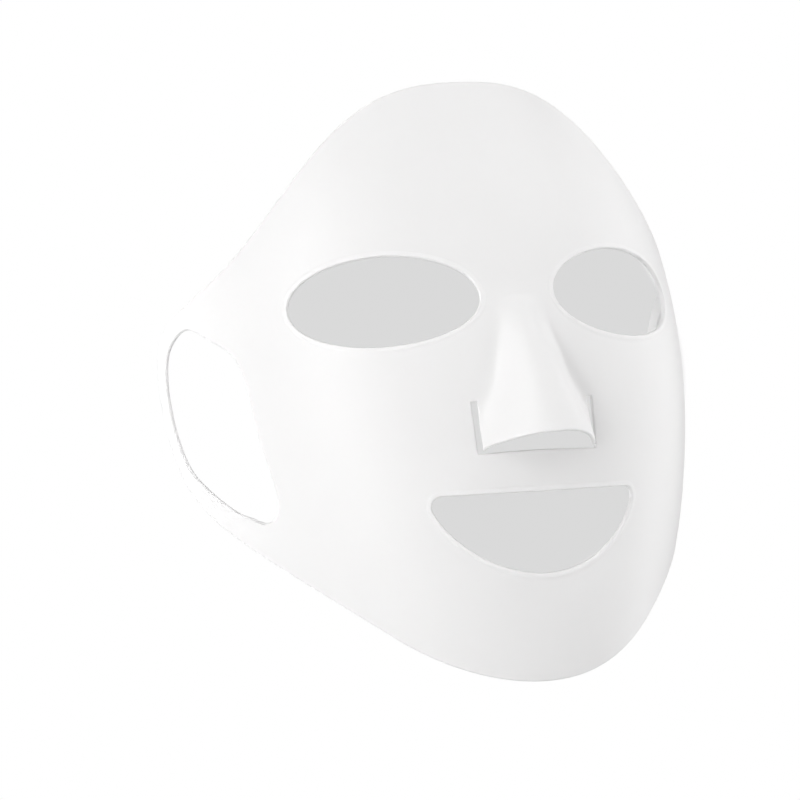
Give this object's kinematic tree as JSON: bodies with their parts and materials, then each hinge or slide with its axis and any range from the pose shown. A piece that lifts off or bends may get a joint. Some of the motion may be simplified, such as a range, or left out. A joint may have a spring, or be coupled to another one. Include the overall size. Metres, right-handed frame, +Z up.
{
  "type": "silicone face mask cover",
  "caption": "Thin soft face mask that wraps the face, with eye and mouth openings, a lifting nose flap and loops that go round the ears.",
  "frame": {"origin": "on the inner side of the sheet at the bridge of the nose, where the mask sits on the wearer", "axes": "+Z up towards the forehead, +Y towards the wearer, so the face looks along -Y, and +X to the wearer's left"},
  "size_m": [0.166, 0.0954, 0.1804],
  "materials": {
    "silicone": "satin",
    "rim_silicone": "satin"
  },
  "bodies": {
    "face": {"forehead_panel": "silicone", "nose_bridge": "silicone", "upper_lip_panel": "silicone", "chin_panel": "silicone", "right_cheek_panel": "silicone", "left_cheek_panel": "silicone", "right_eye_rim": "rim_silicone", "left_eye_rim": "rim_silicone", "mouth_rim": "rim_silicone"},
    "nose_flap": {"nose_flap": "silicone"},
    "left_wing": {"left_wing": "silicone"},
    "right_wing": {"right_wing": "silicone"},
    "left_ear_loop": {"left_ear_loop": "silicone"},
    "right_ear_loop": {"right_ear_loop": "silicone"}
  },
  "joints": [
    {"name": "nose_flap_lift", "type": "hinge", "parent": "face", "child": "nose_flap", "pos_m": [0, -0.01375, -0.0349], "axis": [-1, 0, 0], "range_deg": [0, 25], "stiffness_Nm_per_rad": 0.01},
    {"name": "left_wing_fold", "type": "hinge", "parent": "face", "child": "left_wing", "pos_m": [0.0645, 0.0294, -0.0294], "axis": [-0.0957, 0.0101, -0.9954], "range_deg": [0, 40], "stiffness_Nm_per_rad": 0.02},
    {"name": "right_wing_fold", "type": "hinge", "parent": "face", "child": "right_wing", "pos_m": [-0.0645, 0.0294, -0.0294], "axis": [-0.0957, -0.0101, 0.9954], "range_deg": [0, 40], "stiffness_Nm_per_rad": 0.02},
    {"name": "left_loop_bend", "type": "hinge", "parent": "left_wing", "child": "left_ear_loop", "pos_m": [0.0747, 0.0463, -0.0273], "axis": [-0.1045, -0.0032, -0.9945], "range_deg": [-20, 45], "stiffness_Nm_per_rad": 0.01},
    {"name": "right_loop_bend", "type": "hinge", "parent": "right_wing", "child": "right_ear_loop", "pos_m": [-0.0747, 0.0463, -0.0273], "axis": [-0.1045, 0.0032, 0.9945], "range_deg": [-20, 45], "stiffness_Nm_per_rad": 0.01}
  ]
}
